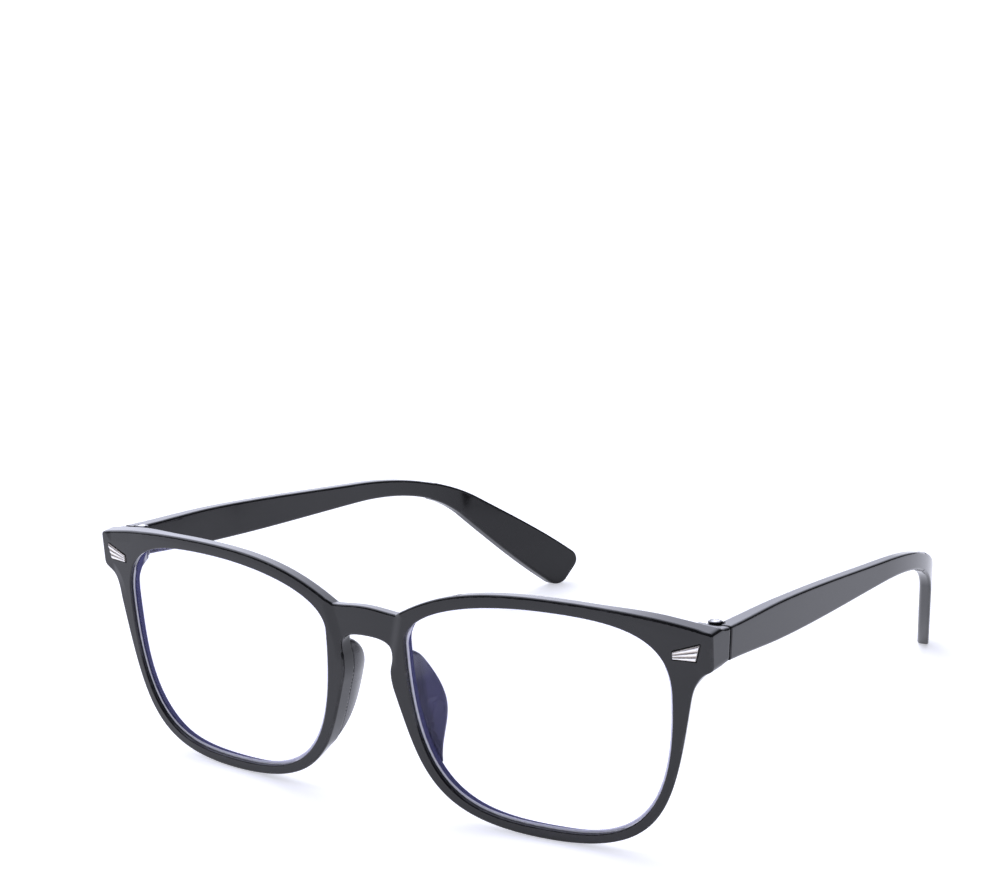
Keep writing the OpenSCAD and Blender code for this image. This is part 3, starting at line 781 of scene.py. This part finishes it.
trim_x, trim_y = zip(*trim_corners())
trim_axes = [even(min(trim_x), max(trim_x), TRIM_CELL), even(min(trim_y), max(trim_y), TRIM_CELL),
             even(TRIM_AT[1] - 0.4 * TRIM_H, TRIM_AT[1] + 0.64 * TRIM_H, TRIM_CELL)]
points, faces, normals, _ = surface(trim_solid, trim_axes)
tx, ty, tz = trim_coords(*points.T)
grooves = np.clip(1.4 * (1 - trim_groove(tx, tz)) - 0.3, 0, 1) * (ty < 0)
pair("trim", (points, faces, normals, grooves), IN_FRONT, trim_metal, "front")

# ---------------------------------------------------------------- hinges
PITCH = STACK_H / 5
LEAF_T, ANCHOR_REACH, PLATE_REACH = 1.5, 3.0, 0.9      # arms that carry the knuckles
SCREW_HEAD_R, SCREW_HEAD_H, SLOT_W, SLOT_DEPTH = 1.3, 0.6, 0.3, 0.25
PAINTED_GLINT_R = 0.62                      # painted highlight in the middle of the blackened screw head
HINGE_CELL, SCREW_CELL = 0.09, 0.07


def knuckle_z(i):
    """Foot of knuckle i, counted from the bottom."""
    return -STACK_H / 2 + i * PITCH + KNUCKLE_GAP / 2


def stack(x, y, z, which, lo, hi):
    """The named knuckles, each with the arm that carries it, bored for the screw."""
    solid = None
    for i in which:
        z0, z1 = knuckle_z(i), knuckle_z(i) + PITCH - KNUCKLE_GAP
        knuckle = disc(x, y, z, KNUCKLE_R, z0, z1, 0.14)
        arm = block(x, y, z, (lo[0], lo[1], z0), (hi[0], hi[1], z1), 0.1)
        one = either(knuckle, arm, 0.2)
        solid = one if solid is None else np.minimum(solid, one)
    return both(solid, SCREW_R + RUN_GAP - np.hypot(x, y), 0.12)


def front_hinge(x, y, z):
    return stack(x, y, z, (0, 2, 4), (-LEAF_T / 2, -ANCHOR_REACH), (LEAF_T / 2, 0))


def temple_hinge(x, y, z):
    return stack(x, y, z, (1, 3), (0, -LEAF_T / 2), (KNUCKLE_R + PLATE_REACH, LEAF_T / 2))


def hinge_screw(x, y, z):
    """Plain shaft with a slotted head."""
    foot = -STACK_H / 2
    shaft = disc(x, y, z, SCREW_R, foot, -foot + 0.1, 0.12)
    head = disc(x, y, z, SCREW_HEAD_R, 0.02 - foot, SCREW_HEAD_H - foot, 0.2)
    slot = np.maximum(np.abs(y) - SLOT_W / 2, SCREW_HEAD_H - SLOT_DEPTH - foot - z)
    return both(np.minimum(shaft, head), -slot, 0.05)


def hinge_axes(lo, hi, top, cell):
    return (even(lo[0], hi[0], cell), even(lo[1], hi[1], cell), even(-STACK_H / 2, top, cell))


front_hinge_axes = hinge_axes((-KNUCKLE_R, -ANCHOR_REACH), (KNUCKLE_R, KNUCKLE_R), STACK_H / 2, HINGE_CELL)
temple_hinge_axes = hinge_axes((-KNUCKLE_R, -KNUCKLE_R), (KNUCKLE_R + PLATE_REACH, KNUCKLE_R),
                               STACK_H / 2, HINGE_CELL)
screw_axes = hinge_axes((-SCREW_HEAD_R, -SCREW_HEAD_R), (SCREW_HEAD_R, SCREW_HEAD_R),
                        STACK_H / 2 + SCREW_HEAD_H, SCREW_CELL)
pair("front_hinge", surface(front_hinge, front_hinge_axes), IN_HINGE, hinge_metal, "front")
pair("temple_hinge", surface(temple_hinge, temple_hinge_axes), IN_HINGE, hinge_metal)
points, faces, normals, _ = surface(hinge_screw, screw_axes)
# outside the painted highlight disc, the screw takes the dark colour
black = smooth((np.hypot(points[:, 0], points[:, 1]) - PAINTED_GLINT_R) / 0.2)
pair("hinge_screw", (points, faces, normals, black), IN_HINGE, screw_metal, "front")

# ---------------------------------------------------------------- temples
BEND_AT, TIP_LEN, TIP_DROP = 91.0, 43.6, math.radians(35.8)
BEND_LEAD, BEND_TRAIL, CORNER_R = 24, 13, 2.7
TOE_IN, TIP_TURN = math.radians(3.9), math.radians(20.3)
ROOT_H, BROAD_H, WAIST_H, PADDLE_H = 6.1, 7.1, 3.5, 8.8
BROAD_AT, WAIST_AT, THIN_AT = 22, 88, 30
ROOT_T, ARM_T = 3.2, 2.4
ROOT_IN = 0.55
ROOT_OUT = ROOT_IN + ROOT_T
TEMPLE_ROUND = 0.55


def bent(start, corner, end, n=120):
    """Curve that leaves start towards corner and reaches end from it."""
    t = np.linspace(0, 1, n, endpoint=False)[:, None]
    return (1 - t)**2 * start + 2 * t * (1 - t) * corner + t * t * end


def temple_height(s):
    """Height of the temple at some length from its front end: root, broad part, waist, paddle."""
    height = ROOT_H + (BROAD_H - ROOT_H) * smooth(s / BROAD_AT)
    height += (WAIST_H - BROAD_H) * smooth((s - BROAD_AT) / (WAIST_AT - BROAD_AT))
    settled = BEND_AT - SEAM_Y + TIP_LEN - CORNER_R - 2
    return height + (PADDLE_H - WAIST_H) * smooth((s - WAIST_AT) / (settled - WAIST_AT))


def temple_side():
    """Outline of the temple from the side, in Y and Z of the hinge frame."""
    tip_dir = np.array([math.cos(TIP_DROP), -math.sin(TIP_DROP)])
    tip_up = np.array([math.sin(TIP_DROP), math.cos(TIP_DROP)])
    bend, start = np.array([BEND_AT, 0.0]), np.array([SEAM_Y, 0.0])
    into, out_of = bend - (BEND_LEAD, 0), bend + BEND_TRAIL * tip_dir
    last = bend + (TIP_LEN - CORNER_R) * tip_dir
    line = np.concatenate([np.linspace(start, into, 200, endpoint=False), bent(into, bend, out_of),
                           np.linspace(out_of, last, 100)])
    s = np.where(line[:, 0] < BEND_AT, line[:, 0] - SEAM_Y,
                 BEND_AT - SEAM_Y + np.linalg.norm(line - bend, axis=1))
    rise = line_normals(line) * temple_height(s)[:, None] / 2
    angle = np.radians(np.arange(5, 91, 5))[:, None]
    ends = [last + k * (PADDLE_H / 2 - CORNER_R) * tip_up
            + CORNER_R * (k * np.cos(angle) * tip_up + np.sin(angle) * tip_dir) for k in (1, -1)]
    return np.concatenate([line + rise, ends[0], ends[1][::-1], (line - rise)[::-1]])


def temple_plan():
    """Outline of the temple from above, in X and Y of the hinge frame."""
    toe = np.array([-math.sin(TOE_IN), math.cos(TOE_IN)])
    tip = np.array([-math.sin(TOE_IN + TIP_TURN), math.cos(TOE_IN + TIP_TURN)])
    root = np.array([ROOT_OUT, SEAM_Y])
    bend = root + (BEND_AT - SEAM_Y) / math.cos(TOE_IN) * toe
    curve = bent(bend - BEND_LEAD * toe, bend, bend + BEND_TRAIL * tip)
    outer = np.concatenate([np.linspace(root, curve[0], 100, endpoint=False), curve,
                            [bend + (TIP_LEN + 6) * tip]])
    along = np.linalg.norm(outer - root, axis=1)
    thick = ROOT_T + (ARM_T - ROOT_T) * smooth(along / THIN_AT)
    inner = outer + line_normals(outer) * thick[:, None]
    inner[0] = (ROOT_IN, SEAM_Y)
    return np.concatenate([outer, inner[::-1]])


side_points, plan_points = temple_side(), temple_plan()
arm_side, arm_plan = Outline(side_points), Outline(plan_points)


def temple_solid(x, y, z):
    solid = both(arm_side(y, z), arm_plan(x, y), TEMPLE_ROUND)
    return both(solid, POCKET_R - np.hypot(x, y), 0.15)


temple_axes = (even(plan_points[:, 0].min(), ROOT_OUT, 0.24),
               stretches(SEAM_Y - 0.4, (6, 0.15), (side_points[:, 0].max() + 0.5, 0.26)),
               even(side_points[:, 1].min(), side_points[:, 1].max(), 0.24))
pair("temple", surface(temple_solid, temple_axes), IN_HINGE, temple_plastic)

# ---------------------------------------------------------------- floor, light and camera
floor_shader = Shader(bpy.data.materials.new("studio_floor"))
floor_tone = floor_shader.colours(floor_shader.fit(floor_shader.noise(0.004, 3), 0.3, 0.7),
                                  (0.9, 0.9, 0.9), (0.92, 0.92, 0.92))
floor_material = floor_shader.done(floor_shader.make("BsdfPrincipled", {
    "Base Color": floor_tone, "Roughness": 1.0, "Specular IOR Level": 0.0,
    "Emission Color": (0.92, 0.93, 1, 1), "Emission Strength": 0.6}).outputs[0])
bpy.ops.mesh.primitive_plane_add(size=12)
floor = bpy.context.object
floor.name = "studio_floor"
floor.data.materials.append(floor_material)

world = bpy.data.worlds.new("studio")
bpy.context.scene.world = world
sky = Shader(world)
direction = sky.make("TexCoord").outputs["Generated"]
lamp = Vector((-0.62, 0.45, 0.64)).normalized()            # a broad soft light, behind to the left
facing = sky.make("VectorMath", {0: direction, 1: lamp}, operation="DOT_PRODUCT").outputs["Value"]
glow = sky.fit(facing, 0.45, 0.95, 0.1, 2.7)
seen = sky.make("LightPath").outputs["Is Camera Ray"]      # behind the floor the backdrop is white
sky.make("OutputWorld", {"Surface": sky.make("Background", {
    "Color": sky.colours(seen, (0.83, 0.85, 1.0), (1.0, 1.0, 1.0)),
    "Strength": sky.math("MAXIMUM", glow, seen)}).outputs[0]})

YAW, PITCH_DOWN, ROLL = math.radians(38.478), math.radians(21.705), math.radians(-4.8)
DISTANCE, AIM_BELOW = 484.6, 2.25    # from the middle of the openings, and how far under it, in mm
FILM, LENS, SHIFT = 36, 95.94, (0.1274, 0.268)
back = Vector((math.sin(YAW) * math.cos(PITCH_DOWN), -math.cos(YAW) * math.cos(PITCH_DOWN),
               math.sin(PITCH_DOWN)))
level = Vector((math.cos(YAW), math.sin(YAW), 0))
up = back.cross(level)
right = math.cos(ROLL) * level + math.sin(ROLL) * up
over = math.cos(ROLL) * up - math.sin(ROLL) * level
facing_back = Matrix((right, over, back)).transposed()
camera = bpy.data.objects.new("camera", bpy.data.cameras.new("camera"))
camera.matrix_world = (Matrix.Translation(IN_FRONT @ (DISTANCE * back - Vector((0, 0, AIM_BELOW))))
                       @ (Matrix.Rotation(stand, 3, "X") @ facing_back).to_4x4())
camera.data.sensor_width = FILM
camera.data.lens = LENS
camera.data.shift_x, camera.data.shift_y = SHIFT
camera.data.clip_end = 50
bpy.context.scene.collection.objects.link(camera)
bpy.context.scene.camera = camera
bpy.context.scene.view_settings.view_transform = "Standard"
